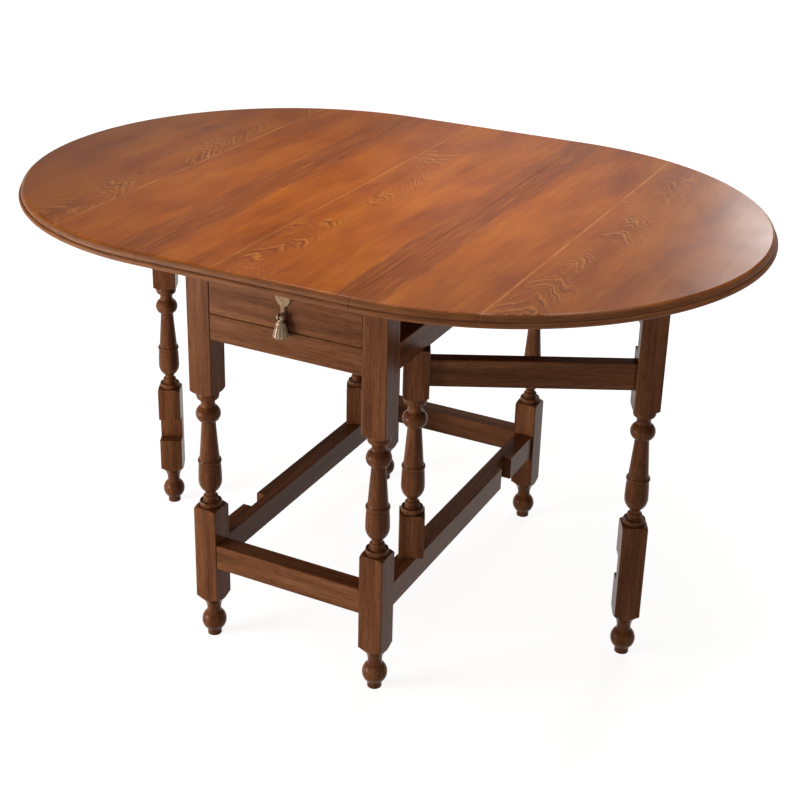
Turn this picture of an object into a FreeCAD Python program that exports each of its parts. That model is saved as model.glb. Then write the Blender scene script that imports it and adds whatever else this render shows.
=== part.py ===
import FreeCAD, Part
import math
import os

# Oval gate-leg table: a fixed centre top, two hinged leaves, two swinging gates and an end drawer.
# Millimetres, +Z up, origin on the floor below the middle of the top.
# X runs from leaf to leaf and the drawer faces -Y. The leaves are up and the gates stand open.

Vector = FreeCAD.Vector
ORIGIN = Vector(0, 0, 0)
X_AXIS = Vector(1, 0, 0)
Y_AXIS = Vector(0, 1, 0)
Z_AXIS = Vector(0, 0, 1)

# Top
TABLE_HEIGHT = 737.0
TOP_THICKNESS = 19.0
CENTRE_WIDTH = 356.0
LEAF_RADIUS = 464.0
JOINT_GAP = 0.8
CENTRE_GLUE_LINE = -50.0
LEAF_INNER_BOARD_WIDTH = 180.0

# Moulded edge of the top, from the underside up: a bead, a quirk and a nosing
BEAD_HEIGHT = 8.0
BEAD_DEPTH = 2.6
QUIRK_HEIGHT = 1.4
NOSING_SETBACK = 4.0
NOSING_WIDTH = 6.0

# Legs: square blocks with turned lengths between them
LEG_SECTION = 42.0
LEG_FROM_JOINT = 1.0
LEG_PITCH_Y = 634.0
LOWER_BLOCK_BOTTOM = 81.0
LOWER_BLOCK_TOP = 246.0
UPPER_BLOCK_BELOW_RAIL = 94.0
EDGE_EASE = 1.0

# Foot, a ball under a hollow
FOOT_PAD_RADIUS = 12.0
FOOT_PAD_HEIGHT = 10.0
FOOT_BALL_INSET = 0.1
FOOT_BALL_HEIGHT = 27.5
FOOT_NECK_RADIUS = 12.2
FOOT_NECK_HEIGHT = 45.0
FOOT_FLARE = 3.5
FOOT_FLARE_PLACE = 0.6

# Heights of the turned members, from the lower block up.
# They are drawn out or pressed together in proportion to fill the length between the blocks.
SHOULDER_HEIGHT = 6.0
LOWER_COLLAR_HEIGHT = 9.0
HOLLOW_HEIGHT = 3.0
SMALL_BEAD_HEIGHT = 8.5
NECK_HEIGHT = 6.0
VASE_HEIGHT = 52.5
RING_HEIGHT = 7.0
CONE_HEIGHT = 69.5
LARGE_BEAD_HEIGHT = 27.0
COVE_HEIGHT = 14.5
UPPER_COLLAR_HEIGHT = 12.0

# Where the turned members change: shares of a member's height or depth, and small steps
SHOULDER_FULL_AT = 0.7
SHOULDER_SWELL = 1.5
HOLLOW_DEEP_AT = 0.33
VASE_BELLY_AT = 0.4
VASE_FULLNESS = 0.67
VASE_FULL_AT = 0.38
VASE_SWELL = 0.3
CONE_STEP = 2.5
COVE_DEEP_AT = 0.38
MEMBER_ROUND = 1.0
MEMBER_QUIRK = 1.5

# Radii of the turned members: the full ones are set in from the face of the block
COLLAR_INSET = 2.0
VASE_INSET = 1.4
VASE_SHOULDER_INSET = 2.8
RING_INSET = 1.3
LARGE_BEAD_INSET = 0.5
NECK_RADIUS = 8.5
SMALL_BEAD_RADIUS = 12.5
HOLLOW_RADIUS = 10.5
CONE_FOOT_RADIUS = 16.5
CONE_TOP_RADIUS = 11.5

# Rails and stretchers
RAIL_THICKNESS = 34.0
SIDE_SETBACK = 4.0
END_SETBACK = 1.5
STRETCHER_BOTTOM = 143.0
STRETCHER_HEIGHT = 44.0
DRAWER_OPENING_HEIGHT = 113.0
RAIL_HEIGHT = 44.0
APRON_THICKNESS = 24.0
TENON_THICKNESS = 12.0
TENON_SHOULDER = 6.0
TENON_END_GAP = 1.0
MORTISE_CLEARANCE = 0.2

# Gates
POST_FROM_MIDDLE = 194.0
GATE_RADIUS = 366.0
GATE_OPEN_ANGLE = 63.0
GATE_RAIL_DROP = 18.0
GATE_RAIL_HEIGHT = 46.0
GATE_RAIL_THICKNESS = 24.0
POST_TURNING_LIFT = 14.0
POST_END_GAP = 0.3
LEAF_REST_GAP = 0.3
LAP_CLEARANCE = 0.5
NOTCH_SIDE_CLEARANCE = 1.5
NOTCH_END_CLEARANCE = 1.0
GATE_PIN_RADIUS = 6.0
GATE_PIN_DEPTH_IN_RAIL = 20.0
GATE_PIN_DEPTH_IN_POST = 26.0
GATE_PIN_END_GAP = 1.0
PIN_RUNNING_CLEARANCE = 0.05
PIN_FIXED_CLEARANCE = 0.02
LEAF_STOP_LENGTH = 60.0
LEAF_STOP_WIDTH = 18.0
LEAF_STOP_HEIGHT = 14.0

# Leaf hinges
HINGE_COUNT = 3
HINGE_SPACING = 240.0
HINGE_LENGTH = 50.0
HINGE_PLATE_WIDTH = 28.0
HINGE_PLATE_THICKNESS = 2.0
KNUCKLE_COUNT = 5
KNUCKLE_RADIUS = 3.5
KNUCKLE_GAP = 0.4
KNUCKLE_ROOM = 0.6
HINGE_PIN_RADIUS = 1.5

# How far a cut runs past the face it starts from
CUT_PAST = 1.0

# Drawer and what carries it
DRAWER_FRONT_THICKNESS = 22.0
DRAWER_FRONT_SETBACK = 1.0
DRAWER_FRONT_GAP = 1.0
DRAWER_TOP_GAP = 2.0
DRAWER_DEPTH = 500.0
DRAWER_SIDE_THICKNESS = 12.0
DRAWER_SIDE_PLAY = 0.5
DRAWER_RUNNING_GAP = 0.3
DRAWER_BOTTOM_HEIGHT = 8.0
DRAWER_BOTTOM_THICKNESS = 6.0
DRAWER_GROOVE_DEPTH = 6.0
DRAWER_BACK_DROP = 7.0
DOVETAIL_COUNT = 3
DOVETAIL_LAP = 14.0
DOVETAIL_NECK = 16.0
DOVETAIL_FLARE = 2.5
RUNNER_WIDTH = 30.0
RUNNER_HEIGHT = 18.0
GUIDE_THICKNESS = 5.5
GUIDE_HEIGHT = 12.0
GATE_TO_GUIDE = 1.2
BEARER_WIDTH = 24.0
BEARER_HEIGHT = 18.0
STOP_BLOCK_PITCH = 120.0
STOP_BLOCK_LENGTH = 30.0
STOP_BLOCK_WIDTH = 16.0
STOP_BLOCK_HEIGHT = 5.0

# Drop pull: a shield-shaped plate with a tongue, an eye on it and a fluted drop with a flat back
PULL_HEIGHT = 25.5
SHIELD_WIDTH = 27.0
SHIELD_TOP = 34.0
SHIELD_WIDEST = 28.5
SHIELD_FOOT = 15.0
SHIELD_TOP_DIP = 2.0
SHIELD_CORNER_AT = 0.75
SHIELD_CORNER_DROP = 0.5
SHIELD_SWELL = 2.5
TONGUE_WIDTH = 8.0
TONGUE_END = -8.0
PLATE_THICKNESS = 3.0
PLATE_FIELD_HEIGHT = 1.2
PLATE_FIELD_INSET = 1.2
EYE_PROJECTION = 9.0
EYE_STEM_RADIUS = 1.6
EYE_RADIUS = 3.4
EYE_THICKNESS = 3.6
DROP_PIN_RADIUS = 1.5
DROP_SLOT_GAP = 0.3
DROP_SLOT_END_GAP = 0.7
DROP_SWING_ROOM = 0.5
DROP_KNOP_RADIUS = 6.4
DROP_NECK_RADIUS = 4.0
DROP_NECK_DEPTH = 7.5
DROP_SKIRT_TOP_RADIUS = 6.0
DROP_SKIRT_RADIUS = 12.4
DROP_SKIRT_FULLNESS = 0.62
DROP_HEM = 1.5
DROP_LENGTH = 32.0
DROP_BACK = 5.0
DROP_FLUTE_COUNT = 14
DROP_FLUTE_RADIUS = 1.2
DROP_FLUTE_START = 4.0

# Values that follow from the sizes above
HALF_LEG = LEG_SECTION / 2
JOINT_X = CENTRE_WIDTH / 2
LEG_X = JOINT_X - LEG_FROM_JOINT - HALF_LEG
LEG_Y = LEG_PITCH_Y / 2
LEG_INNER_X = LEG_X - HALF_LEG
LEG_INNER_Y = LEG_Y - HALF_LEG
UNDERSIDE = TABLE_HEIGHT - TOP_THICKNESS
STRETCHER_TOP = STRETCHER_BOTTOM + STRETCHER_HEIGHT
RAIL_TOP = UNDERSIDE - DRAWER_OPENING_HEIGHT
RAIL_BOTTOM = RAIL_TOP - RAIL_HEIGHT
UPPER_BLOCK_BOTTOM = RAIL_BOTTOM - UPPER_BLOCK_BELOW_RAIL
GATE_RAIL_TOP = RAIL_BOTTOM - GATE_RAIL_DROP
END_FACE_Y = LEG_Y + HALF_LEG - END_SETBACK
SIDE_FACE_X = LEG_X + HALF_LEG - SIDE_SETBACK
TENON_LENGTH = HALF_LEG - TENON_THICKNESS / 2 - TENON_END_GAP
BLOCK_REACH = HALF_LEG * math.sqrt(2) + EDGE_EASE
POST_AXIS = Vector(LEG_X, -POST_FROM_MIDDLE, 0)
CLOSED_LEG_Y = GATE_RADIUS - POST_FROM_MIDDLE


def box(x_span, y_span, z_span):
    """A block between two limits on each axis."""
    low = Vector(min(x_span), min(y_span), min(z_span))
    size = Vector(max(x_span), max(y_span), max(z_span)) - low
    return Part.makeBox(size.x, size.y, size.z, low)


def grown(span, amount):
    """A pair of limits moved apart by the same amount at both ends."""
    return (min(span) - amount, max(span) + amount)


def eased(block, along):
    """A block with its edges along one axis chamfered."""
    edges = [e for e in block.Edges if abs(e.tangentAt(e.FirstParameter).dot(along)) > 0.99]
    return block.makeChamfer(EDGE_EASE, edges)


def half_turn(shape):
    """The same piece on the other side of the table, turned half round the middle."""
    other = shape.copy()
    other.rotate(ORIGIN, Z_AXIS, 180)
    return other


def mirrored(shape):
    """The same piece on the other side of the table, as in a mirror."""
    return shape.mirror(ORIGIN, X_AXIS)


def outline(start, *steps):
    """A closed face in the XZ plane. A step is an end point, or a pair (point on the arc, end)."""
    place = Vector(start[0], 0, start[1])
    first = place
    edges = []
    for step in steps:
        if isinstance(step[0], tuple):
            middle = Vector(step[0][0], 0, step[0][1])
            end = Vector(step[1][0], 0, step[1][1])
            edges.append(Part.Arc(place, middle, end).toShape())
        else:
            end = Vector(step[0], 0, step[1])
            edges.append(Part.LineSegment(place, end).toShape())
        place = end
    if not place.isEqual(first, 1e-6):
        edges.append(Part.LineSegment(place, first).toShape())
    return Part.Face(Part.Wire(edges))


def top_section(reach):
    """Half of the top's section, with its moulded edge at the given reach."""
    bead_top = UNDERSIDE + BEAD_HEIGHT
    nosing_foot = bead_top + QUIRK_HEIGHT
    nosing_x = reach - NOSING_SETBACK
    nosing_height = TABLE_HEIGHT - nosing_foot
    lean = math.sqrt(0.5)
    nosing_middle = (nosing_x - NOSING_WIDTH * (1 - lean), nosing_foot + nosing_height * lean)
    return outline(
        (0, UNDERSIDE),
        (reach - BEAD_DEPTH, UNDERSIDE),
        ((reach, UNDERSIDE + BEAD_HEIGHT / 2), (reach - BEAD_DEPTH, bead_top)),
        (nosing_x, bead_top),
        (nosing_x, nosing_foot),
        (nosing_middle, (nosing_x - NOSING_WIDTH, TABLE_HEIGHT)),
        (0, TABLE_HEIGHT),
    )


def centre_panel():
    """The fixed top, moulded along its two ends, before the hinges are let in."""
    length = CENTRE_WIDTH - JOINT_GAP
    half = top_section(LEAF_RADIUS)
    half.rotate(ORIGIN, Z_AXIS, 90)
    half.translate(Vector(-length / 2, 0, 0))
    half = half.extrude(Vector(length, 0, 0))
    return half.fuse(half_turn(half)).removeSplitter()


def leaf_panel():
    """The right leaf, a half round with a moulded edge, before the hinges are let in."""
    section = top_section(LEAF_RADIUS)
    leaf = section.revolve(ORIGIN, Z_AXIS, 180)
    leaf.rotate(ORIGIN, Z_AXIS, -90)
    leaf.translate(Vector(JOINT_X + JOINT_GAP / 2, 0, 0))
    return leaf


def boards(panel, glue_line):
    """A panel as its two boards, to the left and the right of the glue line."""
    room = panel.BoundBox
    left = box((room.XMin, glue_line), (room.YMin, room.YMax), (room.ZMin, room.ZMax))
    right = box((glue_line, room.XMax), (room.YMin, room.YMax), (room.ZMin, room.ZMax))
    return panel.common(left), panel.common(right)


def turned_levels():
    """The heights at which the turned members of a leg meet, from the lower block up."""
    members = [
        SHOULDER_HEIGHT,
        LOWER_COLLAR_HEIGHT,
        HOLLOW_HEIGHT,
        SMALL_BEAD_HEIGHT,
        NECK_HEIGHT,
        VASE_HEIGHT,
        RING_HEIGHT,
        CONE_HEIGHT,
        LARGE_BEAD_HEIGHT,
        COVE_HEIGHT,
        UPPER_COLLAR_HEIGHT,
        SHOULDER_HEIGHT,
    ]
    stretch = (UPPER_BLOCK_BOTTOM - LOWER_BLOCK_TOP) / sum(members)
    levels = [LOWER_BLOCK_TOP]
    for height in members:
        levels.append(levels[-1] + height * stretch)
    return levels


def between(low, high, share):
    """The value at a share of the way from one value to another."""
    return low + (high - low) * share


def turned_steps(lift):
    """The turned length between two blocks, from the bottom up, lifted from its place in a leg."""
    collar = HALF_LEG - COLLAR_INSET
    vase = HALF_LEG - VASE_INSET
    vase_shoulder = HALF_LEG - VASE_SHOULDER_INSET
    ring = HALF_LEG - RING_INSET
    bead = HALF_LEG - LARGE_BEAD_INSET
    bead_root = CONE_TOP_RADIUS + MEMBER_QUIRK
    shoulder = (BLOCK_REACH + collar) / 2 + SHOULDER_SWELL
    levels = [level + lift for level in turned_levels()]
    block_top, collar_foot, collar_top, small_foot, small_top, vase_foot, ring_foot = levels[:7]
    ring_top, bead_foot, cove_foot, upper_foot, upper_top, block_bottom = levels[7:]
    belly = between(vase_foot, ring_foot, VASE_BELLY_AT)
    vase_neck = NECK_RADIUS + MEMBER_ROUND
    vase_curve = (between(vase_neck, vase, VASE_FULLNESS), between(vase_foot, belly, VASE_FULL_AT))
    vase_side = ((vase + vase_shoulder) / 2 + VASE_SWELL, (belly + ring_foot) / 2)
    ring_step = ring_foot + MEMBER_ROUND
    return [
        (BLOCK_REACH, block_top),
        ((shoulder, between(block_top, collar_foot, SHOULDER_FULL_AT)), (collar - MEMBER_ROUND, collar_foot)),
        ((collar, (collar_foot + collar_top) / 2), (collar - MEMBER_ROUND, collar_top)),
        (
            (HOLLOW_RADIUS + MEMBER_ROUND, between(collar_top, small_foot, HOLLOW_DEEP_AT)),
            (HOLLOW_RADIUS, small_foot),
        ),
        ((SMALL_BEAD_RADIUS, (small_foot + small_top) / 2), (NECK_RADIUS + MEMBER_ROUND, small_top)),
        ((NECK_RADIUS, (small_top + vase_foot) / 2), (vase_neck, vase_foot)),
        (vase_curve, (vase, belly)),
        (vase_side, (vase_shoulder, ring_foot)),
        (vase_shoulder - MEMBER_QUIRK, ring_foot),
        (vase_shoulder - MEMBER_QUIRK, ring_step),
        (ring - MEMBER_ROUND, ring_step),
        ((ring, (ring_step + ring_top) / 2), (ring - MEMBER_ROUND, ring_top)),
        (CONE_FOOT_RADIUS + MEMBER_ROUND, ring_top),
        (CONE_FOOT_RADIUS, ring_top + CONE_STEP),
        (CONE_TOP_RADIUS, bead_foot),
        (bead_root, bead_foot),
        ((bead, (bead_foot + cove_foot) / 2), (bead_root, cove_foot)),
        (
            (CONE_TOP_RADIUS, between(cove_foot, upper_foot, COVE_DEEP_AT)),
            (collar - MEMBER_QUIRK, upper_foot),
        ),
        ((collar, (upper_foot + upper_top) / 2), (collar - MEMBER_ROUND, upper_top)),
        (
            (shoulder, between(block_bottom, upper_top, SHOULDER_FULL_AT)),
            (BLOCK_REACH, block_bottom),
        ),
    ]


def foot_steps():
    """The pad, the ball foot and the hollow under the lower block."""
    ball = HALF_LEG - FOOT_BALL_INSET
    flare_height = between(FOOT_NECK_HEIGHT, LOWER_BLOCK_BOTTOM, FOOT_FLARE_PLACE)
    return [
        (FOOT_PAD_RADIUS, 0),
        (FOOT_PAD_RADIUS, FOOT_PAD_HEIGHT),
        ((ball, FOOT_BALL_HEIGHT), (FOOT_NECK_RADIUS, FOOT_NECK_HEIGHT)),
        ((FOOT_NECK_RADIUS + FOOT_FLARE, flare_height), (BLOCK_REACH, LOWER_BLOCK_BOTTOM)),
    ]


def turned_stock(bottom, top, first_steps, lift):
    """Square stock on the Z axis, turned to the profile and left square at its blocks."""
    face = outline((0, bottom), *first_steps, *turned_steps(lift), (BLOCK_REACH, top), (0, top))
    turned = face.revolve(ORIGIN, Z_AXIS, 360)
    across = (-HALF_LEG, HALF_LEG)
    return turned.common(eased(box(across, across, (bottom, top)), Z_AXIS))


def turned_leg(top):
    """A leg from the floor to the given height."""
    return turned_stock(0, top, foot_steps(), 0)


def placed(shape, x, y):
    """A copy of a piece made on the Z axis, moved to its place."""
    copy = shape.copy()
    copy.translate(Vector(x, y, 0))
    return copy


def tenon_spans(x_span, y_span, z_span, along):
    """The limits of the two tenons on the ends of a rail."""
    spans = []
    high = grown(z_span, -TENON_SHOULDER)
    across = y_span if along is X_AXIS else x_span
    length = x_span if along is X_AXIS else y_span
    middle = sum(across) / 2
    thick = (middle - TENON_THICKNESS / 2, middle + TENON_THICKNESS / 2)
    for end, way in ((min(length), -1), (max(length), 1)):
        reach = (end, end + way * TENON_LENGTH)
        spans.append((reach, thick, high) if along is X_AXIS else (thick, reach, high))
    return spans


def rail(x_span, y_span, z_span, along):
    """A rail with eased edges, tenoned at both ends, and the tenons' limits."""
    spans = tenon_spans(x_span, y_span, z_span, along)
    shape = eased(box(x_span, y_span, z_span), along)
    return shape.multiFuse([box(*s) for s in spans]).removeSplitter(), spans


def mortised(shape, spans):
    """A leg or post with the mortises that a list of tenons needs."""
    return shape.cut(Part.makeCompound([box(*[grown(s, MORTISE_CLEARANCE) for s in t]) for t in spans]))


def lap_notch(z_span):
    """The half that a side rail gives up where the closed gate leg crosses it."""
    half = HALF_LEG + NOTCH_SIDE_CLEARANCE
    y_span = (CLOSED_LEG_Y - half, CLOSED_LEG_Y + half)
    return box((LEG_X - LAP_CLEARANCE / 2, LEG_X + LEG_SECTION), y_span, z_span)


def leg_notch(z_span):
    """The half that the gate leg gives up where it crosses a rail, with the gate closed."""
    x_span = (LEG_X - LEG_SECTION, LEG_X + LAP_CLEARANCE / 2)
    y_span = (CLOSED_LEG_Y - LEG_SECTION, CLOSED_LEG_Y + LEG_SECTION)
    return box(x_span, y_span, grown(z_span, NOTCH_END_CLEARANCE))


def pin_hole(z_span, clearance):
    """The hole for a gate's pivot pin."""
    radius = GATE_PIN_RADIUS + clearance
    base = POST_AXIS + Vector(0, 0, min(z_span))
    return Part.makeCylinder(radius, max(z_span) - min(z_span), base)


# Heights over which the two pivot pins of a gate reach, inside the rails and inside the post
LOWER_PIN = (STRETCHER_TOP - GATE_PIN_DEPTH_IN_RAIL, STRETCHER_TOP + GATE_PIN_DEPTH_IN_POST)
UPPER_PIN = (RAIL_BOTTOM - GATE_PIN_DEPTH_IN_POST, RAIL_BOTTOM + GATE_PIN_DEPTH_IN_RAIL)


def gate_pins():
    """The two pivot pins of the right gate, fixed in the stretcher and the side rail."""
    return Part.makeCompound([pin_hole(span, 0) for span in (LOWER_PIN, UPPER_PIN)])


def frame_rails():
    """Every rail of the fixed frame by name, and the limits of all their tenons."""
    across = (-LEG_INNER_X, LEG_INNER_X)
    along = (-LEG_INNER_Y, LEG_INNER_Y)
    end = (-END_FACE_Y, RAIL_THICKNESS - END_FACE_Y)
    side = (SIDE_FACE_X - RAIL_THICKNESS, SIDE_FACE_X)
    low = (STRETCHER_BOTTOM, STRETCHER_TOP)
    high = (RAIL_BOTTOM, RAIL_TOP)
    apron_y = (END_FACE_Y - APRON_THICKNESS, END_FACE_Y)
    pieces = {}
    tenons = []
    pieces["stretcher_front"], low_end = rail(across, end, low, X_AXIS)
    pieces["stretcher_rear"] = half_turn(pieces["stretcher_front"])
    pieces["drawer_rail"], high_end = rail(across, end, high, X_AXIS)
    pieces["rear_apron"], apron_ends = rail(across, apron_y, (RAIL_BOTTOM, UNDERSIDE), X_AXIS)
    for name, heights, pin in (("stretcher", low, LOWER_PIN), ("side_rail", high, UPPER_PIN)):
        piece, side_ends = rail(side, along, heights, Y_AXIS)
        piece = piece.cut(lap_notch(heights)).cut(pin_hole(pin, PIN_FIXED_CLEARANCE))
        pieces[name + "_right"] = piece
        pieces[name + "_left"] = half_turn(piece)
        tenons += side_ends
        tenons += [half_turn_span(s) for s in side_ends]
    tenons += low_end + [half_turn_span(s) for s in low_end] + high_end + apron_ends
    return pieces, tenons


def half_turn_span(span):
    """Limits on the other side of the table, turned half round the middle."""
    x_span, y_span, z_span = span
    return ([-v for v in x_span], [-v for v in y_span], z_span)


def gate():
    """The right gate by name: its post, rail and leg, swung open."""
    length = (HALF_LEG - POST_FROM_MIDDLE, CLOSED_LEG_Y - HALF_LEG)
    thick = (LEG_X - GATE_RAIL_THICKNESS / 2, LEG_X + GATE_RAIL_THICKNESS / 2)
    heights = (GATE_RAIL_TOP - GATE_RAIL_HEIGHT, GATE_RAIL_TOP)
    gate_rail, tenons = rail(thick, length, heights, Y_AXIS)
    post_bottom = STRETCHER_TOP + POST_END_GAP
    post_top = RAIL_BOTTOM - POST_END_GAP
    post = turned_stock(post_bottom, post_top, [(BLOCK_REACH, post_bottom)], POST_TURNING_LIFT)
    post = mortised(placed(post, LEG_X, -POST_FROM_MIDDLE), tenons)
    for pin in (LOWER_PIN, UPPER_PIN):
        post = post.cut(pin_hole(grown(pin, GATE_PIN_END_GAP), PIN_RUNNING_CLEARANCE))
    leg = placed(turned_leg(UNDERSIDE - LEAF_REST_GAP), LEG_X, CLOSED_LEG_Y)
    leg = mortised(leg, tenons)
    for z_span in ((STRETCHER_BOTTOM, STRETCHER_TOP), (RAIL_BOTTOM, RAIL_TOP)):
        leg = leg.cut(leg_notch(z_span))
    pieces = {"gate_post": post, "gate_rail": gate_rail, "gate_leg": leg}
    for piece in pieces.values():
        piece.rotate(POST_AXIS, Z_AXIS, -GATE_OPEN_ANGLE)
    return pieces


def leaf_stop():
    """The block under the right leaf that the open gate's leg comes to rest against."""
    near = LEG_X + HALF_LEG + LEAF_REST_GAP
    y_span = (CLOSED_LEG_Y - LEAF_STOP_LENGTH / 2, CLOSED_LEG_Y + LEAF_STOP_LENGTH / 2)
    block = box((near, near + LEAF_STOP_WIDTH), y_span, (UNDERSIDE - LEAF_STOP_HEIGHT, UNDERSIDE))
    block = eased(block, Z_AXIS)
    block.rotate(POST_AXIS, Z_AXIS, -GATE_OPEN_ANGLE)
    return block


def hinge_places():
    """The middle of each hinge along the right joint, on the hinge axis."""
    first = -(HINGE_COUNT - 1) / 2
    return [Vector(JOINT_X, (first + i) * HINGE_SPACING, UNDERSIDE) for i in range(HINGE_COUNT)]


def barrel(radius, start, length):
    """A cylinder along the hinge axis, measured from the hinge's near end."""
    return Part.makeCylinder(radius, length, Vector(0, start - HINGE_LENGTH / 2, 0), Y_AXIS)


def hinge_half(way):
    """One half of a hinge on the origin: way is 1 for the leaf's half and -1 for the fixed half."""
    plate = box(
        (way * JOINT_GAP / 2, way * HINGE_PLATE_WIDTH),
        (-HINGE_LENGTH / 2, HINGE_LENGTH / 2),
        (0, HINGE_PLATE_THICKNESS),
    )
    step = HINGE_LENGTH / KNUCKLE_COUNT
    own = [i for i in range(KNUCKLE_COUNT) if (i % 2 == 1) == (way == 1)]
    others = [i for i in range(KNUCKLE_COUNT) if i not in own]
    for i in others:
        plate = plate.cut(barrel(KNUCKLE_RADIUS + KNUCKLE_GAP, i * step, step))
    for i in own:
        plate = plate.fuse(barrel(KNUCKLE_RADIUS, i * step + KNUCKLE_GAP / 2, step - KNUCKLE_GAP))
    hole = barrel(HINGE_PIN_RADIUS + PIN_RUNNING_CLEARANCE, -CUT_PAST, HINGE_LENGTH + 2 * CUT_PAST)
    return plate.cut(hole).removeSplitter()


def hinge_recess(way):
    """What the top gives up for one half of a hinge on the origin."""
    half = HINGE_LENGTH / 2
    seat = box((0, way * HINGE_PLATE_WIDTH), (-half, half), (-CUT_PAST, HINGE_PLATE_THICKNESS))
    return seat.fuse(barrel(KNUCKLE_RADIUS + KNUCKLE_ROOM, 0, HINGE_LENGTH))


def at_hinges(shape):
    """One copy of a piece at each hinge of the right joint."""
    copies = []
    for place in hinge_places():
        copy = shape.copy()
        copy.translate(place)
        copies.append(copy)
    return Part.makeCompound(copies)


# The drawer's width inside the closed gates, and its heights
GUIDE_X = LEG_INNER_X - GATE_TO_GUIDE
SIDE_OUTER_X = GUIDE_X - GUIDE_THICKNESS - DRAWER_SIDE_PLAY
SIDE_INNER_X = SIDE_OUTER_X - DRAWER_SIDE_THICKNESS
FRONT_Y = DRAWER_FRONT_SETBACK - LEG_Y - HALF_LEG
FRONT_BACK_Y = FRONT_Y + DRAWER_FRONT_THICKNESS
DRAWER_END_Y = FRONT_BACK_Y + DRAWER_DEPTH
SIDE_BOTTOM = RAIL_TOP + DRAWER_RUNNING_GAP
SIDE_TOP = UNDERSIDE - BEARER_HEIGHT - DRAWER_FRONT_GAP
PANEL_BOTTOM = SIDE_BOTTOM + DRAWER_BOTTOM_HEIGHT
PANEL_TOP = PANEL_BOTTOM + DRAWER_BOTTOM_THICKNESS


def dovetails():
    """The tails on the front end of the right drawer side, lapped into the drawer front."""
    pitch = (SIDE_TOP - SIDE_BOTTOM) / DOVETAIL_COUNT
    tails = []
    for i in range(DOVETAIL_COUNT):
        middle = SIDE_BOTTOM + (i + 0.5) * pitch
        neck = DOVETAIL_NECK / 2
        end = neck + DOVETAIL_FLARE
        tip_y = FRONT_BACK_Y - DOVETAIL_LAP
        corners = [
            Vector(SIDE_INNER_X, FRONT_BACK_Y, middle - neck),
            Vector(SIDE_INNER_X, FRONT_BACK_Y, middle + neck),
            Vector(SIDE_INNER_X, tip_y, middle + end),
            Vector(SIDE_INNER_X, tip_y, middle - end),
        ]
        face = Part.Face(Part.makePolygon(corners + corners[:1]))
        tails.append(face.extrude(Vector(DRAWER_SIDE_THICKNESS, 0, 0)))
    return tails


def drawer_bottom():
    """The thin bottom, held in grooves in the front and the sides."""
    reach = SIDE_INNER_X + DRAWER_GROOVE_DEPTH
    y_span = (FRONT_BACK_Y - DRAWER_GROOVE_DEPTH, DRAWER_END_Y)
    return box((-reach, reach), y_span, (PANEL_BOTTOM, PANEL_TOP))


def drawer():
    """Every piece of the drawer box by name."""
    tails = dovetails()
    bottom = drawer_bottom()
    side = box((SIDE_INNER_X, SIDE_OUTER_X), (FRONT_BACK_Y, DRAWER_END_Y), (SIDE_BOTTOM, SIDE_TOP))
    side = side.multiFuse(tails).removeSplitter().cut(bottom)
    front = box(
        (DRAWER_FRONT_GAP - LEG_INNER_X, LEG_INNER_X - DRAWER_FRONT_GAP),
        (FRONT_Y, FRONT_BACK_Y),
        (RAIL_TOP + DRAWER_FRONT_GAP, UNDERSIDE - DRAWER_TOP_GAP),
    )
    front = eased(front, X_AXIS)
    front = front.cut(Part.makeCompound(tails + [mirrored(t) for t in tails])).cut(bottom)
    back = box(
        (-SIDE_INNER_X, SIDE_INNER_X),
        (DRAWER_END_Y - DRAWER_SIDE_THICKNESS, DRAWER_END_Y),
        (PANEL_TOP, SIDE_TOP - DRAWER_BACK_DROP),
    )
    return {
        "drawer_front": front,
        "drawer_side_right": side,
        "drawer_side_left": mirrored(side),
        "drawer_back": back,
        "drawer_bottom": bottom,
    }


# What carries the drawer lies between the drawer rail and the rear apron
CARRIER_Y = (RAIL_THICKNESS - END_FACE_Y, END_FACE_Y - APRON_THICKNESS)


def drawer_runner():
    """The right runner that the drawer side slides on, with its guide."""
    runner = box((GUIDE_X - RUNNER_WIDTH, GUIDE_X), CARRIER_Y, (RAIL_TOP - RUNNER_HEIGHT, RAIL_TOP))
    guide = box((GUIDE_X - GUIDE_THICKNESS, GUIDE_X), CARRIER_Y, (RAIL_TOP, RAIL_TOP + GUIDE_HEIGHT))
    return runner.fuse(guide).removeSplitter()


def top_bearer():
    """The right bearer under the centre top, which also keeps the open drawer level."""
    x_span = (SIDE_OUTER_X - BEARER_WIDTH, SIDE_OUTER_X)
    return box(x_span, CARRIER_Y, (UNDERSIDE - BEARER_HEIGHT, UNDERSIDE))


def drawer_stops():
    """Two blocks on the drawer rail that stop the drawer front flush."""
    y_start = FRONT_BACK_Y + DRAWER_RUNNING_GAP
    y_span = (y_start, y_start + STOP_BLOCK_WIDTH)
    blocks = []
    for middle in (-STOP_BLOCK_PITCH / 2, STOP_BLOCK_PITCH / 2):
        x_span = (middle - STOP_BLOCK_LENGTH / 2, middle + STOP_BLOCK_LENGTH / 2)
        blocks.append(box(x_span, y_span, (RAIL_TOP, RAIL_TOP + STOP_BLOCK_HEIGHT)))
    return Part.makeCompound(blocks)


EYE = Vector(0, FRONT_Y - EYE_PROJECTION, RAIL_TOP + DRAWER_FRONT_GAP + PULL_HEIGHT)


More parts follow.
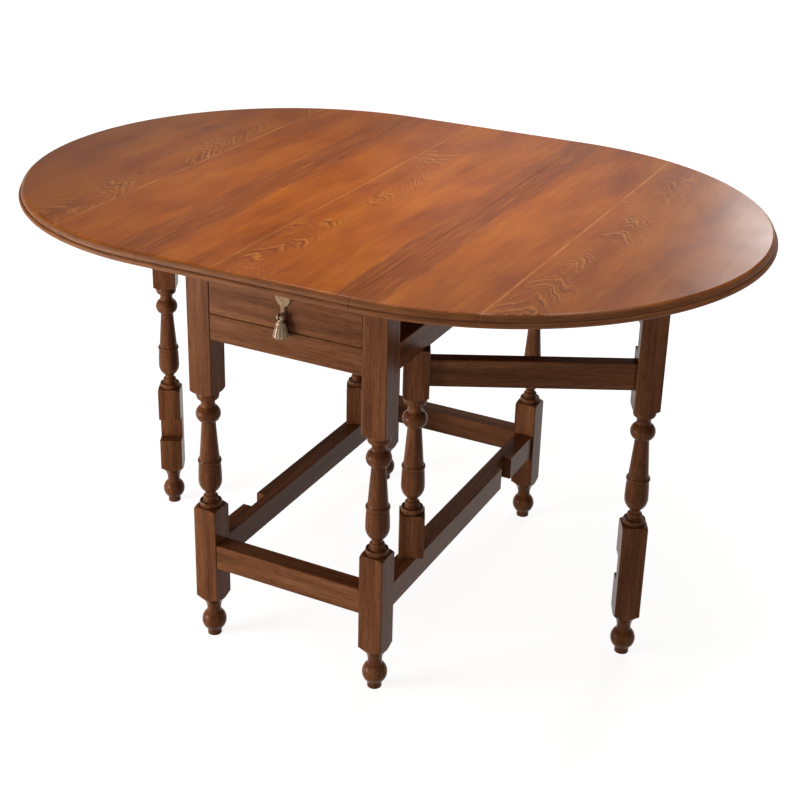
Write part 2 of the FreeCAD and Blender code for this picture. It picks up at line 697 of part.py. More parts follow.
def pull_backplate():
    """A shield with a tongue below it on the drawer front, with a raised field."""
    wide = SHIELD_WIDTH / 2
    tongue = TONGUE_WIDTH / 2
    side = ((tongue + wide) / 2 + SHIELD_SWELL, (SHIELD_FOOT + SHIELD_WIDEST) / 2)
    corner = (between(wide / 2, wide, SHIELD_CORNER_AT), SHIELD_TOP - SHIELD_CORNER_DROP)
    face = outline(
        (-tongue, TONGUE_END + tongue),
        ((0, TONGUE_END), (tongue, TONGUE_END + tongue)),
        (tongue, SHIELD_FOOT),
        (side, (wide, SHIELD_WIDEST)),
        (corner, (wide / 2, SHIELD_TOP)),
        ((0, SHIELD_TOP - SHIELD_TOP_DIP), (-wide / 2, SHIELD_TOP)),
        ((-corner[0], corner[1]), (-wide, SHIELD_WIDEST)),
        ((-side[0], side[1]), (-tongue, SHIELD_FOOT)),
    )
    plate = face.extrude(Vector(0, PLATE_FIELD_HEIGHT - PLATE_THICKNESS, 0))
    field = face.makeOffset2D(-PLATE_FIELD_INSET).extrude(Vector(0, -PLATE_THICKNESS, 0))
    plate = plate.fuse(field).removeSplitter()
    plate.translate(Vector(0, FRONT_Y, EYE.z))
    return plate


def pull_eye():
    """The stem on the plate's tongue with the flat eye that carries the drop."""
    root = Vector(0, FRONT_Y - PLATE_THICKNESS, EYE.z)
    stem = Part.makeCylinder(EYE_STEM_RADIUS, root.y - EYE.y, root, -Y_AXIS)
    start = EYE - Vector(EYE_THICKNESS / 2, 0, 0)
    eye = Part.makeCylinder(EYE_RADIUS, EYE_THICKNESS, start, X_AXIS)
    hole = Part.makeCylinder(DROP_PIN_RADIUS + PIN_RUNNING_CLEARANCE, EYE_THICKNESS, start, X_AXIS)
    return stem.fuse(eye).cut(hole).removeSplitter()


def drop_flutes():
    """What the flutes take from the skirt of the drop."""
    top = Vector(DROP_SKIRT_TOP_RADIUS + DROP_FLUTE_RADIUS, 0, -DROP_NECK_DEPTH - DROP_FLUTE_START)
    end = Vector(DROP_SKIRT_RADIUS + DROP_FLUTE_RADIUS / 2, 0, -DROP_LENGTH - DROP_HEM)
    run = end - top
    flutes = []
    for i in range(DROP_FLUTE_COUNT):
        flute = Part.makeCylinder(DROP_FLUTE_RADIUS, run.Length, top, run)
        flute.rotate(ORIGIN, Z_AXIS, (i + 0.5) * 360 / DROP_FLUTE_COUNT)
        flutes.append(flute)
    return flutes


def pull_drop():
    """The hanging drop: a slotted knop on a pin, a neck, and a flaring fluted skirt."""
    slot_half = EYE_THICKNESS / 2 + DROP_SLOT_GAP
    slot_depth = EYE_RADIUS + DROP_SLOT_END_GAP
    skirt_middle = (DROP_NECK_DEPTH + DROP_LENGTH) / 2
    skirt_curve = between(DROP_SKIRT_TOP_RADIUS, DROP_SKIRT_RADIUS, DROP_SKIRT_FULLNESS)
    drop = outline(
        (0, -slot_depth),
        (DROP_NECK_RADIUS, -slot_depth),
        (DROP_NECK_RADIUS, -DROP_NECK_DEPTH),
        (DROP_SKIRT_TOP_RADIUS, -DROP_NECK_DEPTH),
        ((skirt_curve, -skirt_middle), (DROP_SKIRT_RADIUS, DROP_HEM - DROP_LENGTH)),
        (DROP_SKIRT_RADIUS - DROP_HEM, -DROP_LENGTH),
        (0, -DROP_LENGTH),
    ).revolve(ORIGIN, Z_AXIS, 360)
    drop = drop.cut(Part.makeCompound(drop_flutes()))
    reach = (-DROP_LENGTH, DROP_LENGTH)
    slot = box((-slot_half, slot_half), reach, (-slot_depth, DROP_LENGTH))
    swing = EYE_PROJECTION - PLATE_THICKNESS - DROP_SWING_ROOM
    wheel = Part.makeCylinder(swing, 2 * DROP_KNOP_RADIUS, Vector(-DROP_KNOP_RADIUS, 0, 0), X_AXIS)
    drop = drop.fuse(Part.makeSphere(DROP_KNOP_RADIUS).common(wheel).cut(slot))
    drop = drop.cut(box(reach, (DROP_BACK, DROP_LENGTH), grown(reach, DROP_HEM)))
    pin = Part.makeCylinder(DROP_PIN_RADIUS, 2 * EYE_RADIUS, Vector(-EYE_RADIUS, 0, 0), X_AXIS)
    drop = drop.fuse(pin).removeSplitter()
    drop.translate(EYE)
    return drop


def all_pieces():
    """Every piece of the table by its node name."""
    pieces, tenons = frame_rails()
    leg = turned_leg(UNDERSIDE)
    for end, y in (("front", -LEG_Y), ("rear", LEG_Y)):
        for side, x in (("left", -LEG_X), ("right", LEG_X)):
            pieces["leg_" + end + "_" + side] = mortised(placed(leg, x, y), tenons)

    fixed_recess = at_hinges(hinge_recess(-1))
    leaf_recess = at_hinges(hinge_recess(1))
    centre = centre_panel().cut(fixed_recess).cut(half_turn(fixed_recess))
    left, right = boards(centre, CENTRE_GLUE_LINE)
    pieces["top_centre_left_board"] = left
    pieces["top_centre_right_board"] = right
    leaf = leaf_panel().cut(leaf_recess)
    inner, outer = boards(leaf, JOINT_X + LEAF_INNER_BOARD_WIDTH)
    pin = barrel(HINGE_PIN_RADIUS, 0, HINGE_LENGTH)
    right_hand = {
        "leaf_{}_inner_board": inner,
        "leaf_{}_outer_board": outer,
        "leaf_stop_{}": leaf_stop(),
        "hinge_leaf_plates_{}": at_hinges(hinge_half(1)),
        "hinge_fixed_plates_{}": at_hinges(hinge_half(-1)),
        "hinge_pins_{}": at_hinges(pin),
        "gate_pins_{}": gate_pins(),
    }
    for name, piece in gate().items():
        right_hand[name + "_{}"] = piece
    for name, piece in right_hand.items():
        pieces[name.format("right")] = piece
        pieces[name.format("left")] = half_turn(piece)

    for name, piece in (("drawer_runner", drawer_runner()), ("top_bearer", top_bearer())):
        pieces[name + "_right"] = piece
        pieces[name + "_left"] = mirrored(piece)
    pieces["drawer_stops"] = drawer_stops()
    pieces.update(drawer())
    pieces["pull_backplate"] = pull_backplate()
    pieces["pull_eye"] = pull_eye()
    pieces["pull_drop"] = pull_drop()
    return pieces


os.makedirs("parts", exist_ok=True)
for node, shape in all_pieces().items():
    shape.exportStep("parts/" + node + ".step")
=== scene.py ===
import math

import bmesh
import bpy
from mathutils import Matrix, Vector


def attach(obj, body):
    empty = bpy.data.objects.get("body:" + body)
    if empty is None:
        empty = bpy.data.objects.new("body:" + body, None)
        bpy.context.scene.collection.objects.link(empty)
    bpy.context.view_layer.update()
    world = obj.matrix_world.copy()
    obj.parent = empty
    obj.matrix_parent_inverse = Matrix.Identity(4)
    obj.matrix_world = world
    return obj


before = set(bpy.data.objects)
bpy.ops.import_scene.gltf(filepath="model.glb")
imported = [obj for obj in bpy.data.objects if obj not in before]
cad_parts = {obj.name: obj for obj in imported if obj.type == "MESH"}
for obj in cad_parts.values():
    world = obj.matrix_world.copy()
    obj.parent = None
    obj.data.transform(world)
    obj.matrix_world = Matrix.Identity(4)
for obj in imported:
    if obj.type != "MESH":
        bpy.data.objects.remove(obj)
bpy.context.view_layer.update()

MM = 0.001

# Places on the top in metres, as in the part
TOP_HEIGHT = 0.737
UNDERSIDE = 0.718
JOINT_X = 0.178
CENTRE_GLUE_X = -0.050
LEAF_GLUE_X = 0.358
GATE_RAIL_TURN = math.radians(27)

# Figure of the top: the flame beside each glue line and the dark band along each joint
FLAME_AXIS = 45 * MM
FLAME_WIDTH = 24 * MM
FLAME_RING = 18 * MM
FLAME_WANDER = 7.0
BAND_OFFSET = 8 * MM
BAND_RAGGED = 60 * MM

# Moulded edge of the top: the depth at which its darker stain begins, and its duller varnish
EDGE_STAIN_DEPTH = 1.5 * MM
EDGE_ROUGHNESS = 0.6

# Wear and painted light: how wide an edge is rubbed and painted with a highlight, and how far dark wax or
# tarnish with painted shade reaches out of a hollow
RUBBED_AND_HIGHLIT_EDGE = 1.4 * MM
WOOD_HOLLOW = 10 * MM
METAL_HOLLOW = 2 * MM

# Streaks, strokes and pores of the stained oak in millimetres, across and along the grain
STREAK, STROKE, PORE = (18, 280), (3, 90), (1.0, 20)
LEG_TONES = ("#623B21", "#7A4A2D", "#915F3B")
RAIL_TONES = ("#663F24", "#7F4F30", "#95623F")

# A ramp spans 0 to 1, so a length goes to it in tenths or hundredths of a metre, or in tens of metres
IN_TENTHS = 10.0
IN_HUNDREDTHS = 100.0
IN_TENS = 0.1

# Settings of a mix: one colour over another, one colour tinting another, or plain numbers
OVER = {"data_type": "RGBA"}
TINT = {"data_type": "RGBA", "blend_type": "MULTIPLY"}
NUMBERS = {"data_type": "FLOAT"}

# Screws of the leaf hinges: places on a plate from the joint outwards and along it, head and slot in
# millimetres, and the turn of the slot from hinge to hinge and from screw to screw
HINGE_ROWS = (-0.240, 0.0, 0.240)
SCREW_PLACES = ((22 * MM, -17 * MM), (13 * MM, 0.0), (22 * MM, 17 * MM))
SCREW_PROFILE = ((0.0, 0.8), (1.2, 0.74), (2.2, 0.55), (2.7, 0.3), (2.7, -0.1), (0.0, -0.1))
SCREW_SLOT_HALF = 0.35 * MM
SCREW_SLOT_FLOOR = 0.25 * MM
SCREW_STEPS = 20
SLOT_TURN_ROW, SLOT_TURN_SCREW = 0.7, 1.9

# Camera, fitted to the corners of the legs and the outline of the top in the 800 by 800 picture
IMAGE_SIZE = 800
FOCAL_PIXELS = 1454.0
CAMERA_AZIMUTH = 26.38
CAMERA_ELEVATION = 22.94
CAMERA_ROLL = 1.47
CAMERA_PLACE = Vector((1.0572, -2.0727, 1.4689))
PRINCIPAL_ROW = 330.0
SENSOR_WIDTH = 36.0

# The floor reaches past what the camera sees, and turns up at its far edge to hide the horizon
FLOOR_RADIUS = 40.0
FLOOR_RIM = 6.5
FLOOR_SIDES = 64

# Lamps: place and aim, width and height in metres, power in watts
LAMPS = (
    ("pool_above", (0.1, 0.0, 1.6), (0.1, 0.0, 0.7), 1.2, 0.5, 9.5),
    ("front_left", (-1.5, -1.6, 0.42), (-0.1, 0, 0.42), 0.9, 0.55, 37),
    ("front_right", (1.9, -1.9, 0.42), (0.1, 0, 0.42), 1.2, 0.55, 6),
    ("window_rear_right", (0.2, 3.2, 1.85), (0.2, 0, 0.7), 0.7, 1.3, 15),
    ("wall_rear_middle", (-0.95, 3.2, 1.85), (-0.95, 0, 0.7), 1.3, 1.3, 1.7),
    ("wall_rear_left", (-3.1, 3.2, 1.85), (-3.1, 0, 0.7), 1.4, 1.3, 1.0),
)


def linear(hex_colour):
    """An sRGB hex colour as linear red, green, blue and alpha."""
    parts = [int(hex_colour[i:i + 2], 16) / 255 for i in (1, 3, 5)]
    return [c / 12.92 if c <= 0.04045 else ((c + 0.055) / 1.055) ** 2.4 for c in parts] + [1.0]


def add(tree, kind, inputs=None, stops=(), **settings):
    """One new node. An input is a value, a socket or a node; stops are (place, hex colour) on a ramp."""
    made = tree.nodes.new("ShaderNode" + kind)
    for name, value in settings.items():
        setattr(made, name, value)
    for key, value in (inputs or {}).items():
        named = [s for s in made.inputs if s.enabled and s.name == key]
        socket = made.inputs[key] if isinstance(key, int) else named[0]
        if isinstance(value, bpy.types.Node):
            value = next(o for o in value.outputs if o.enabled)
        if isinstance(value, bpy.types.NodeSocket):
            tree.links.new(value, socket)
        else:
            socket.default_value = value
    for i, (place, colour) in enumerate(stops):
        ramp = made.color_ramp.elements
        stop = ramp[i] if i < len(ramp) else ramp.new(place)
        stop.position = place
        stop.color = linear(colour)
    return made


def emptied_tree(owner):
    """The node tree of a material or world, with nothing in it."""
    owner.use_nodes = True
    owner.node_tree.nodes.clear()
    return owner.node_tree


def new_material(name):
    """A node material with a principled shader, and its tree."""
    material = bpy.data.materials.new(name)
    tree = emptied_tree(material)
    shader = add(tree, "BsdfPrincipled")
    add(tree, "OutputMaterial", {"Surface": shader})
    return material, tree, shader


def grain(tree, size_mm, stops, turn=0.0, detail=2.0):
    """Noise drawn out along the grain, through a ramp: the size of its streaks on each axis, turned about Z."""
    place = add(tree, "TexCoord").outputs["Object"]
    laid = {"Vector": place, "Rotation": (0, 0, turn), "Scale": [length * MM for length in size_mm]}
    fibre = add(tree, "Mapping", laid, vector_type="TEXTURE")
    noise = add(tree, "TexNoise", {"Vector": fibre, "Scale": 1.0, "Detail": detail, "Roughness": 0.55})
    return add(tree, "ValToRGB", {"Fac": noise}, stops)


def soil_wear_and_painted_light(tree, colour, hollow_soil_and_shade, edge_rub_and_highlight, reach):
    """Dark wax and painted shade in the hollows, and a paler rub and painted highlight along the edges."""
    # Painted shade: the colour goes dark where ambient occlusion finds a hollow, as dark wax and shade together
    hollow = add(tree, "AmbientOcclusion", {"Distance": reach}, samples=6)
    depth = add(tree, "ValToRGB", {"Fac": hollow.outputs["AO"]}, [(0.25, "#F0F0F0"), (0.8, "#000000")])
    soiled_and_shaded = add(tree, "Mix", {"Factor": depth, "A": colour, "B": linear(hollow_soil_and_shade)}, **OVER)
    # Painted highlight: the colour goes paler along the edges, as a rub and a highlight together
    soft = add(tree, "Bevel", {"Radius": RUBBED_AND_HIGHLIT_EDGE}, samples=4)
    sharp = add(tree, "NewGeometry").outputs["Normal"]
    facing = add(tree, "VectorMath", {0: soft, 1: sharp}, operation="DOT_PRODUCT").outputs["Value"]
    edge = add(tree, "ValToRGB", {"Fac": facing}, [(0.86, "#A0A0A0"), (0.985, "#000000")])
    return add(tree, "Mix", {"Factor": edge, "A": soiled_and_shaded, "B": linear(edge_rub_and_highlight)}, **OVER).outputs[2]


def stained_oak(name, streak, stroke, pore, turn, deep, middle, pale):
    """Oak planed or turned, stained brown and waxed: quiet streaks, fine open pores and a satin sheen."""
    material, tree, shader = new_material(name)
    broad = grain(tree, streak, [(0.3, deep), (0.5, middle), (0.72, pale)], turn, 3.0)
    lines = grain(tree, stroke, [(0.3, "#DDD4CC"), (0.6, "#FFFFFF")], turn)
    lined = add(tree, "Mix", {"Factor": 1.0, "A": broad, "B": lines}, **TINT)
    pores = grain(tree, pore, [(0.36, "#CFC3B9"), (0.48, "#FFFFFF")], turn)
    pored = add(tree, "Mix", {"Factor": 1.0, "A": lined, "B": pores}, **TINT)
    # Dark wax with painted shade in the hollows, and a paler rub with a painted highlight on the edges
    finish_and_painted_light = soil_wear_and_painted_light(tree, pored, "#2E1A0F", "#94623C", WOOD_HOLLOW)
    bump = add(tree, "Bump", {"Height": pores, "Strength": 0.15, "Distance": 0.3 * MM})
    tree.links.new(finish_and_painted_light, shader.inputs["Base Color"])
    tree.links.new(bump.outputs[0], shader.inputs["Normal"])
    shader.inputs["Roughness"].default_value = 0.26
    shader.inputs["Specular IOR Level"].default_value = 0.07
    return material


def varnished_oak_top():
    """Flat-sawn oak boards, stained and varnished: orange fields, dark joints, flame figure, painted shade on
    the outer boards.
    """
    material, tree, shader = new_material("varnished_oak_top")
    place = add(tree, "SeparateXYZ", {0: add(tree, "TexCoord").outputs["Object"]})
    from_middle = add(tree, "Math", {0: place.outputs["X"]}, operation="ABSOLUTE")

    # Fields of the boards: slow changes of tone with faint strokes along the grain
    field_stops = [(0.3, "#9A4A0A"), (0.5, "#B25B0A"), (0.72, "#C26C12")]
    field = grain(tree, (55, 200, 60), field_stops, detail=3.0)
    streaks = grain(tree, (7, 160, 10), [(0.34, "#F1EBE4"), (0.6, "#FFFFFF")])
    fibres = grain(tree, (1.1, 40, 6), [(0.34, "#EBE3DB"), (0.6, "#FFFFFF")])
    streaked = add(tree, "Mix", {"Factor": 1.0, "A": field, "B": streaks}, **TINT)
    colour = add(tree, "Mix", {"Factor": 1.0, "A": streaked, "B": fibres}, **TINT)

    # Flame figure in patches beside the glue lines: rings bowed about an axis along the board, each as
    # strong as chance has it
    leaf_side = add(tree, "Math", {0: from_middle, 1: LEAF_GLUE_X}, operation="SUBTRACT")
    centre_side = add(tree, "Math", {0: place.outputs["X"], 1: CENTRE_GLUE_X}, operation="SUBTRACT")
    on_leaf = add(tree, "Math", {0: from_middle, 1: JOINT_X}, operation="GREATER_THAN")
    beside = add(tree, "Mix", {"Factor": on_leaf, "A": centre_side, "B": leaf_side}, **NUMBERS)
    off_axis = add(tree, "Math", {0: beside, 1: FLAME_AXIS}, operation="SUBTRACT")
    widths = add(tree, "Math", {0: off_axis, 1: FLAME_WIDTH}, operation="DIVIDE")
    bow = add(tree, "Math", {0: widths, 1: widths}, operation="MULTIPLY")
    bowed = add(tree, "Math", {0: place.outputs["Y"], 1: 1 / FLAME_RING, 2: bow}, operation="MULTIPLY_ADD")
    wander = grain(tree, (32, 110, 60), [(0.0, "#000000"), (1.0, "#FFFFFF")], detail=2.5)
    ring = add(tree, "Math", {0: wander, 1: FLAME_WANDER, 2: bowed}, operation="MULTIPLY_ADD")
    share = add(tree, "Math", {0: ring}, operation="FRACT")
    number = add(tree, "Math", {0: ring}, operation="FLOOR")
    chance = add(tree, "TexWhiteNoise", {"W": number}, noise_dimensions="1D")
    flame_stops = [
        (0.0, "#622A0A"), (0.2, "#7E3C10"), (0.4, "#A65414"),
        (0.75, "#C06E22"), (0.88, "#D28A3C"), (1.0, "#A85A18"),
    ]
    flame = add(tree, "ValToRGB", {"Fac": share}, flame_stops)
    tenths_beside = add(tree, "Math", {0: beside, 1: IN_TENTHS}, operation="MULTIPLY")
    zone_stops = [(0.0, "#000000"), (0.05, "#FFFFFF"), (0.6, "#FFFFFF"), (1.0, "#000000")]
    zone = add(tree, "ValToRGB", {"Fac": tenths_beside}, zone_stops)
    patches = grain(tree, (40, 90, 60), [(0.44, "#000000"), (0.58, "#FFFFFF")], detail=1.0)
    where = add(tree, "Mix", {"Factor": 1.0, "A": zone, "B": patches}, **TINT)
    strength = add(tree, "Math", {0: where, 1: chance.outputs["Value"]}, operation="MULTIPLY")
    figured = add(tree, "Mix", {"Factor": strength, "A": colour, "B": flame}, **OVER)

    # Dark heartwood along the joints, with ragged edges
    past_joint = add(tree, "Math", {0: from_middle, 1: JOINT_X + BAND_OFFSET}, operation="SUBTRACT")
    off_joint = add(tree, "Math", {0: past_joint}, operation="ABSOLUTE")
    ragged = grain(tree, (9, 130, 40), [(0.0, "#000000"), (1.0, "#FFFFFF")], detail=4.0)
    torn = add(tree, "Math", {0: ragged, 1: BAND_RAGGED, 2: off_joint}, operation="MULTIPLY_ADD")
    tenths_torn = add(tree, "Math", {0: torn, 1: IN_TENTHS}, operation="MULTIPLY")
    heart = add(tree, "ValToRGB", {"Fac": tenths_torn}, [(0.59, "#DCDCDC"), (0.71, "#000000")])
    heartwood_stops = [(0.34, "#70300C"), (0.52, "#8A4212"), (0.7, "#A85E20")]
    heartwood = grain(tree, (4, 90, 20), heartwood_stops, detail=3.0)
    banded = add(tree, "Mix", {"Factor": heart, "A": figured, "B": heartwood}, **OVER)

    # The outer boards are painted darker and greyer, as shade where the light falls off
    outward = add(tree, "ValToRGB", {"Fac": from_middle}, [(0.2, "#000000"), (0.62, "#FFFFFF")])
    shaded_outward = add(tree, "Mix", {"Factor": outward, "A": banded, "B": linear("#CCD2DE")}, **TINT)

    # Pale glue lines, broken here and there
    off_leaf_glue = add(tree, "Math", {0: leaf_side}, operation="ABSOLUTE")
    off_centre_glue = add(tree, "Math", {0: centre_side}, operation="ABSOLUTE")
    off_glue = add(tree, "Math", {0: off_leaf_glue, 1: off_centre_glue}, operation="MINIMUM")
    hundredths_off = add(tree, "Math", {0: off_glue, 1: IN_HUNDREDTHS}, operation="MULTIPLY")
    glue = add(tree, "ValToRGB", {"Fac": hundredths_off}, [(0.1, "#BCBCBC"), (0.26, "#000000")])
    broken = grain(tree, (30, 60, 30), [(0.38, "#6A6A6A"), (0.58, "#FFFFFF")])
    line = add(tree, "Mix", {"Factor": 1.0, "A": glue, "B": broken}, **TINT)
    glued = add(tree, "Mix", {"Factor": line, "A": shaded_outward, "B": linear("#D2883C")}, **OVER)

    # Darker stain and duller varnish on the moulded edge and below
    below = {0: place.outputs["Z"], 1: TOP_HEIGHT - EDGE_STAIN_DEPTH}
    low = add(tree, "Math", below, operation="LESS_THAN")
    edge_stain = grain(tree, (40, 40, 3), [(0.3, "#74421F"), (0.7, "#94592C")])
    rimmed = add(tree, "Mix", {"Factor": low, "A": glued, "B": edge_stain}, **OVER).outputs[2]
    # Dark wax with painted shade in the hollows, and a paler rub with a painted highlight on the moulded edge
    finish_and_painted_light = soil_wear_and_painted_light(tree, rimmed, "#4A2914", "#B68250", WOOD_HOLLOW)
    haze = grain(tree, (90, 120, 90), [(0.3, "#8A8A8A"), (0.7, "#A0A0A0")])
    gloss = add(tree, "Mix", {"Factor": low, "A": haze, "B": EDGE_ROUGHNESS}, **NUMBERS)
    tree.links.new(finish_and_painted_light, shader.inputs["Base Color"])
    tree.links.new(gloss.outputs[0], shader.inputs["Roughness"])
    shader.inputs["Specular IOR Level"].default_value = 0.25
    return material


def sawn_bare_oak():
    """Oak left from the saw and plane inside the frame: pale, dry and unpolished."""
    material, tree, shader = new_material("sawn_bare_oak")
    broad = grain(tree, (18, 300, 18), [(0.3, "#7A5230"), (0.5, "#946840"), (0.72, "#A87C50")])
    lines = grain(tree, (1.2, 40, 1.2), [(0.34, "#A89A8C"), (0.55, "#FFFFFF")])
    lined = add(tree, "Mix", {"Factor": 1.0, "A": broad, "B": lines}, **TINT)
    tree.links.new(lined.outputs[2], shader.inputs["Base Color"])
    shader.inputs["Roughness"].default_value = 0.7
    shader.inputs["Specular IOR Level"].default_value = 0.25
    return material


def aged_metal(name, body, tarnish, rub_and_painted_highlight, spot_mm):
    """Metal gone dull with age: tarnish in spots, tarnish with painted shade in the hollows, and a paler rub
    with a painted highlight along the edges.
    """
    material, tree, shader = new_material(name)
    spot = (spot_mm, spot_mm, spot_mm)
    spots = grain(tree, spot, [(0.3, tarnish), (0.55, body)], detail=4.0)
    # Tarnish with painted shade in the hollows, and a paler rub with a painted highlight along the edges
    finish_and_painted_light = soil_wear_and_painted_light(tree, spots, tarnish, rub_and_painted_highlight, METAL_HOLLOW)
    gloss = grain(tree, spot, [(0.3, "#CCCCCC"), (0.7, "#B0B0B0")])
    tree.links.new(finish_and_painted_light, shader.inputs["Base Color"])
    tree.links.new(gloss.outputs[0], shader.inputs["Roughness"])
    shader.inputs["Metallic"].default_value = 0.5
    return material


def dress(material, *starts):
    """Give every CAD node whose name begins so the given material."""
    for node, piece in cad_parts.items():
        if node.startswith(starts):
            piece.data.materials.clear()
            piece.data.materials.append(material)


def slotted_screw(heads, place, turn):
    """One raised screw head with its slot, looking down, added to the mesh of heads."""
    head = bmesh.new()
    outline = [head.verts.new((across * MM, 0, height * MM)) for across, height in SCREW_PROFILE]
    lines = [head.edges.new(pair) for pair in zip(outline, outline[1:])]
    bmesh.ops.spin(
        head, geom=outline + lines, cent=(0, 0, 0), axis=(0, 0, 1), angle=math.tau, steps=SCREW_STEPS)
    bmesh.ops.remove_doubles(head, verts=head.verts, dist=1e-6)
    for side in (-SCREW_SLOT_HALF, SCREW_SLOT_HALF):
        everything = head.verts[:] + head.edges[:] + head.faces[:]
        bmesh.ops.bisect_plane(head, geom=everything, dist=1e-7, plane_co=(side, 0, 0), plane_no=(1, 0, 0))
    bmesh.ops.recalc_face_normals(head, faces=head.faces)
    upper = [f for f in head.faces if f.normal.z > 0.3]
    slot = [f for f in upper if abs(f.calc_center_median().x) < SCREW_SLOT_HALF]
    sunk = bmesh.ops.extrude_face_region(head, geom=slot)["geom"]
    for corner in sunk:
        if isinstance(corner, bmesh.types.BMVert):
            corner.co.z = SCREW_SLOT_FLOOR
    seat = Matrix.Translation(place) @ Matrix.Rotation(math.pi, 4, "X") @ Matrix.Rotation(turn, 4, "Z")
    bmesh.ops.transform(head, matrix=seat, verts=head.verts)
    bmesh.ops.recalc_face_normals(head, faces=head.faces)
    one = bpy.data.meshes.new("screw_head")
    head.to_mesh(one)
    head.free()
    heads.from_mesh(one)
    bpy.data.meshes.remove(one)


def leaf_hinge_screws(side, sign, material):
    """The screws through the leaf's half of each hinge."""
    heads = bmesh.new()
    for row, along in enumerate(HINGE_ROWS):
        for number, (out, off) in enumerate(SCREW_PLACES):
            place = (sign * (JOINT_X + out), along + off, UNDERSIDE)
            slotted_screw(heads, place, SLOT_TURN_ROW * row + SLOT_TURN_SCREW * number)
    mesh = bpy.data.meshes.new("leaf_hinge_screws_" + side)
    heads.to_mesh(mesh)
    heads.free()
    mesh.materials.append(material)
    screws = bpy.data.objects.new("leaf_hinge_screws_" + side, mesh)
    bpy.context.scene.collection.objects.link(screws)
    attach(screws, "leaf_" + side)


def pale_floor():
    """A wide pale floor, white to the camera but for the soft shadow under the table."""
    count = FLOOR_SIDES
    turns = [math.tau * i / count for i in range(count)]
    ring = [(FLOOR_RADIUS * math.cos(turn), FLOOR_RADIUS * math.sin(turn)) for turn in turns]
    corners = [(x, y, z) for z in (0, FLOOR_RIM) for x, y in ring]
    sides = [(i, (i + 1) % count, (i + 1) % count + count, i + count) for i in range(count)]
    mesh = bpy.data.meshes.new("floor")
    mesh.from_pydata(corners, [], [tuple(range(count))] + sides)
    floor = bpy.data.objects.new("floor", mesh)
    bpy.context.scene.collection.objects.link(floor)
    material = bpy.data.materials.new("pale_floor")
    tree = emptied_tree(material)
    path = add(tree, "LightPath").outputs
    bounced = {0: path["Is Glossy Ray"], 1: path["Is Transmission Ray"]}
    mirrored = add(tree, "Math", bounced, operation="MAXIMUM")
    seen = add(tree, "Math", {0: mirrored, 1: path["Is Camera Ray"]}, operation="MAXIMUM")
    away = add(tree, "VectorMath", {0: add(tree, "TexCoord").outputs["Object"]}, operation="LENGTH")
    tens_away = add(tree, "Math", {0: away.outputs["Value"], 1: IN_TENS}, operation="MULTIPLY")
    white = add(tree, "ValToRGB", {"Fac": tens_away}, [(0.1, "#EEEEEE"), (0.3, "#FCFCFC")])
    glow = add(tree, "Emission", {"Color": white, "Strength": seen})
    matt = add(tree, "BsdfDiffuse", {"Color": linear("#B4B4B4")})
    add(tree, "OutputMaterial", {"Surface": add(tree, "AddShader", {0: glow, 1: matt})})
    mesh.materials.append(material)


def soft_world():
    """A dim room around the table, brighter towards its ceiling."""
    world = bpy.data.worlds.new("room")
    bpy.context.scene.world = world
    tree = emptied_tree(world)
    way = add(tree, "SeparateXYZ", {0: add(tree, "TexCoord").outputs["Generated"]})
    room_stops = [(0.0, "#343331"), (0.3, "#4A4846"), (1.0, "#A6A4A2")]
    room = add(tree, "ValToRGB", {"Fac": way.outputs["Z"]}, room_stops)
    add(tree, "OutputWorld", {"Surface": add(tree, "Background", {"Color": room, "Strength": 1.0})})


def softbox(name, place, aim, width, height, power):
    """A rectangular lamp facing a point."""
    lamp = bpy.data.lights.new(name, "AREA")
    lamp.shape = "RECTANGLE"
    lamp.size = width
    lamp.size_y = height
    lamp.energy = power
    holder = bpy.data.objects.new(name, lamp)
    holder.location = place
    holder.rotation_euler = (Vector(aim) - Vector(place)).to_track_quat("-Z", "Y").to_euler()
    holder.visible_camera = False
    bpy.context.scene.collection.objects.link(holder)


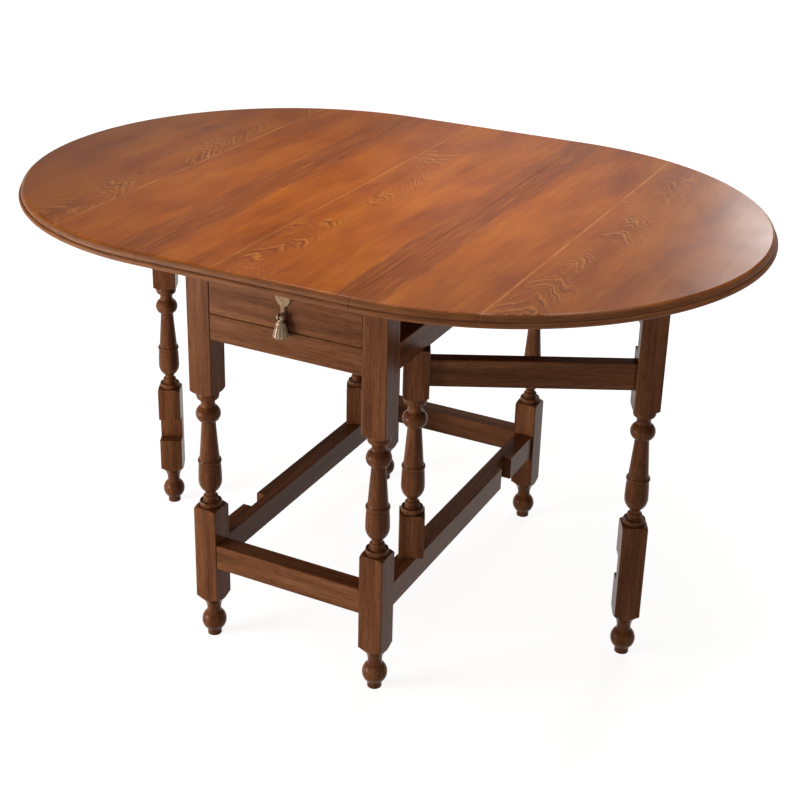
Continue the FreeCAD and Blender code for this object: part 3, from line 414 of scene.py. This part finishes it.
def picture_camera():
    """The camera at the picture's viewing angle."""
    data = bpy.data.cameras.new("camera")
    data.sensor_width = SENSOR_WIDTH
    data.lens = FOCAL_PIXELS / IMAGE_SIZE * SENSOR_WIDTH
    data.shift_y = (PRINCIPAL_ROW - IMAGE_SIZE / 2) / IMAGE_SIZE
    camera = bpy.data.objects.new("camera", data)
    azimuth = math.radians(CAMERA_AZIMUTH)
    elevation = math.radians(CAMERA_ELEVATION)
    level = math.cos(elevation)
    back = Vector((math.sin(azimuth) * level, -math.cos(azimuth) * level, math.sin(elevation)))
    roll = Matrix.Rotation(math.radians(CAMERA_ROLL), 3, "Z")
    turn = (-back).to_track_quat("-Z", "Y").to_matrix() @ roll
    camera.location = CAMERA_PLACE
    camera.rotation_euler = turn.to_euler()
    bpy.context.scene.collection.objects.link(camera)
    bpy.context.scene.camera = camera


# The stained oak, by the way its grain runs: up the legs, from leaf to leaf, from front to rear, and
# along the open gates
upright = [(across, across, along) for across, along in (STREAK, STROKE, PORE)]
crosswise = [(along, across, across) for across, along in (STREAK, STROKE, PORE)]
lengthwise = [(across, along, across) for across, along in (STREAK, STROKE, PORE)]
legs = stained_oak("turned_stained_oak", *upright, 0, *LEG_TONES)
end_rails = stained_oak("planed_stained_oak_ends", *crosswise, 0, *RAIL_TONES)
side_rails = stained_oak("planed_stained_oak_sides", *lengthwise, 0, *RAIL_TONES)
gate_rails = stained_oak("planed_stained_oak_gates", *crosswise, GATE_RAIL_TURN, *RAIL_TONES)
bare_oak = sawn_bare_oak()

# The metals: brown brass of the pull, its drop rubbed paler by the hand, black plates and grey pins
# The last colour of each is the paler rub with a painted highlight along its edges
brass = aged_metal("cast_antique_brass", "#80623F", "#5A4430", "#CCB498", 3.0)
pale_brass = aged_metal("cast_pale_brass", "#AE9478", "#8C745A", "#CCBAA0", 3.0)
iron = aged_metal("blackened_wrought_iron", "#4A423A", "#241E1A", "#8A8076", 5.0)
steel = aged_metal("drawn_steel_pin", "#8C8680", "#5A5048", "#B8B4AE", 2.0)

dress(legs, "leg_", "gate_leg", "gate_post")
dress(end_rails, "stretcher_front", "stretcher_rear", "drawer_rail", "drawer_front", "rear_apron")
dress(side_rails, "stretcher_left", "stretcher_right", "side_rail")
dress(gate_rails, "gate_rail")
dress(varnished_oak_top(), "top_centre", "leaf_left", "leaf_right")
dress(bare_oak, "drawer_side", "drawer_back", "drawer_bottom", "drawer_runner", "drawer_stops")
dress(bare_oak, "top_bearer", "leaf_stop")
dress(brass, "pull_backplate", "pull_eye")
dress(pale_brass, "pull_drop")
dress(iron, "hinge_fixed", "hinge_leaf")
dress(steel, "hinge_pins", "gate_pins")
leaf_hinge_screws("left", -1, steel)
leaf_hinge_screws("right", 1, steel)

pale_floor()
soft_world()
for lamp in LAMPS:
    softbox(*lamp)
picture_camera()
bpy.context.scene.view_settings.view_transform = "Standard"
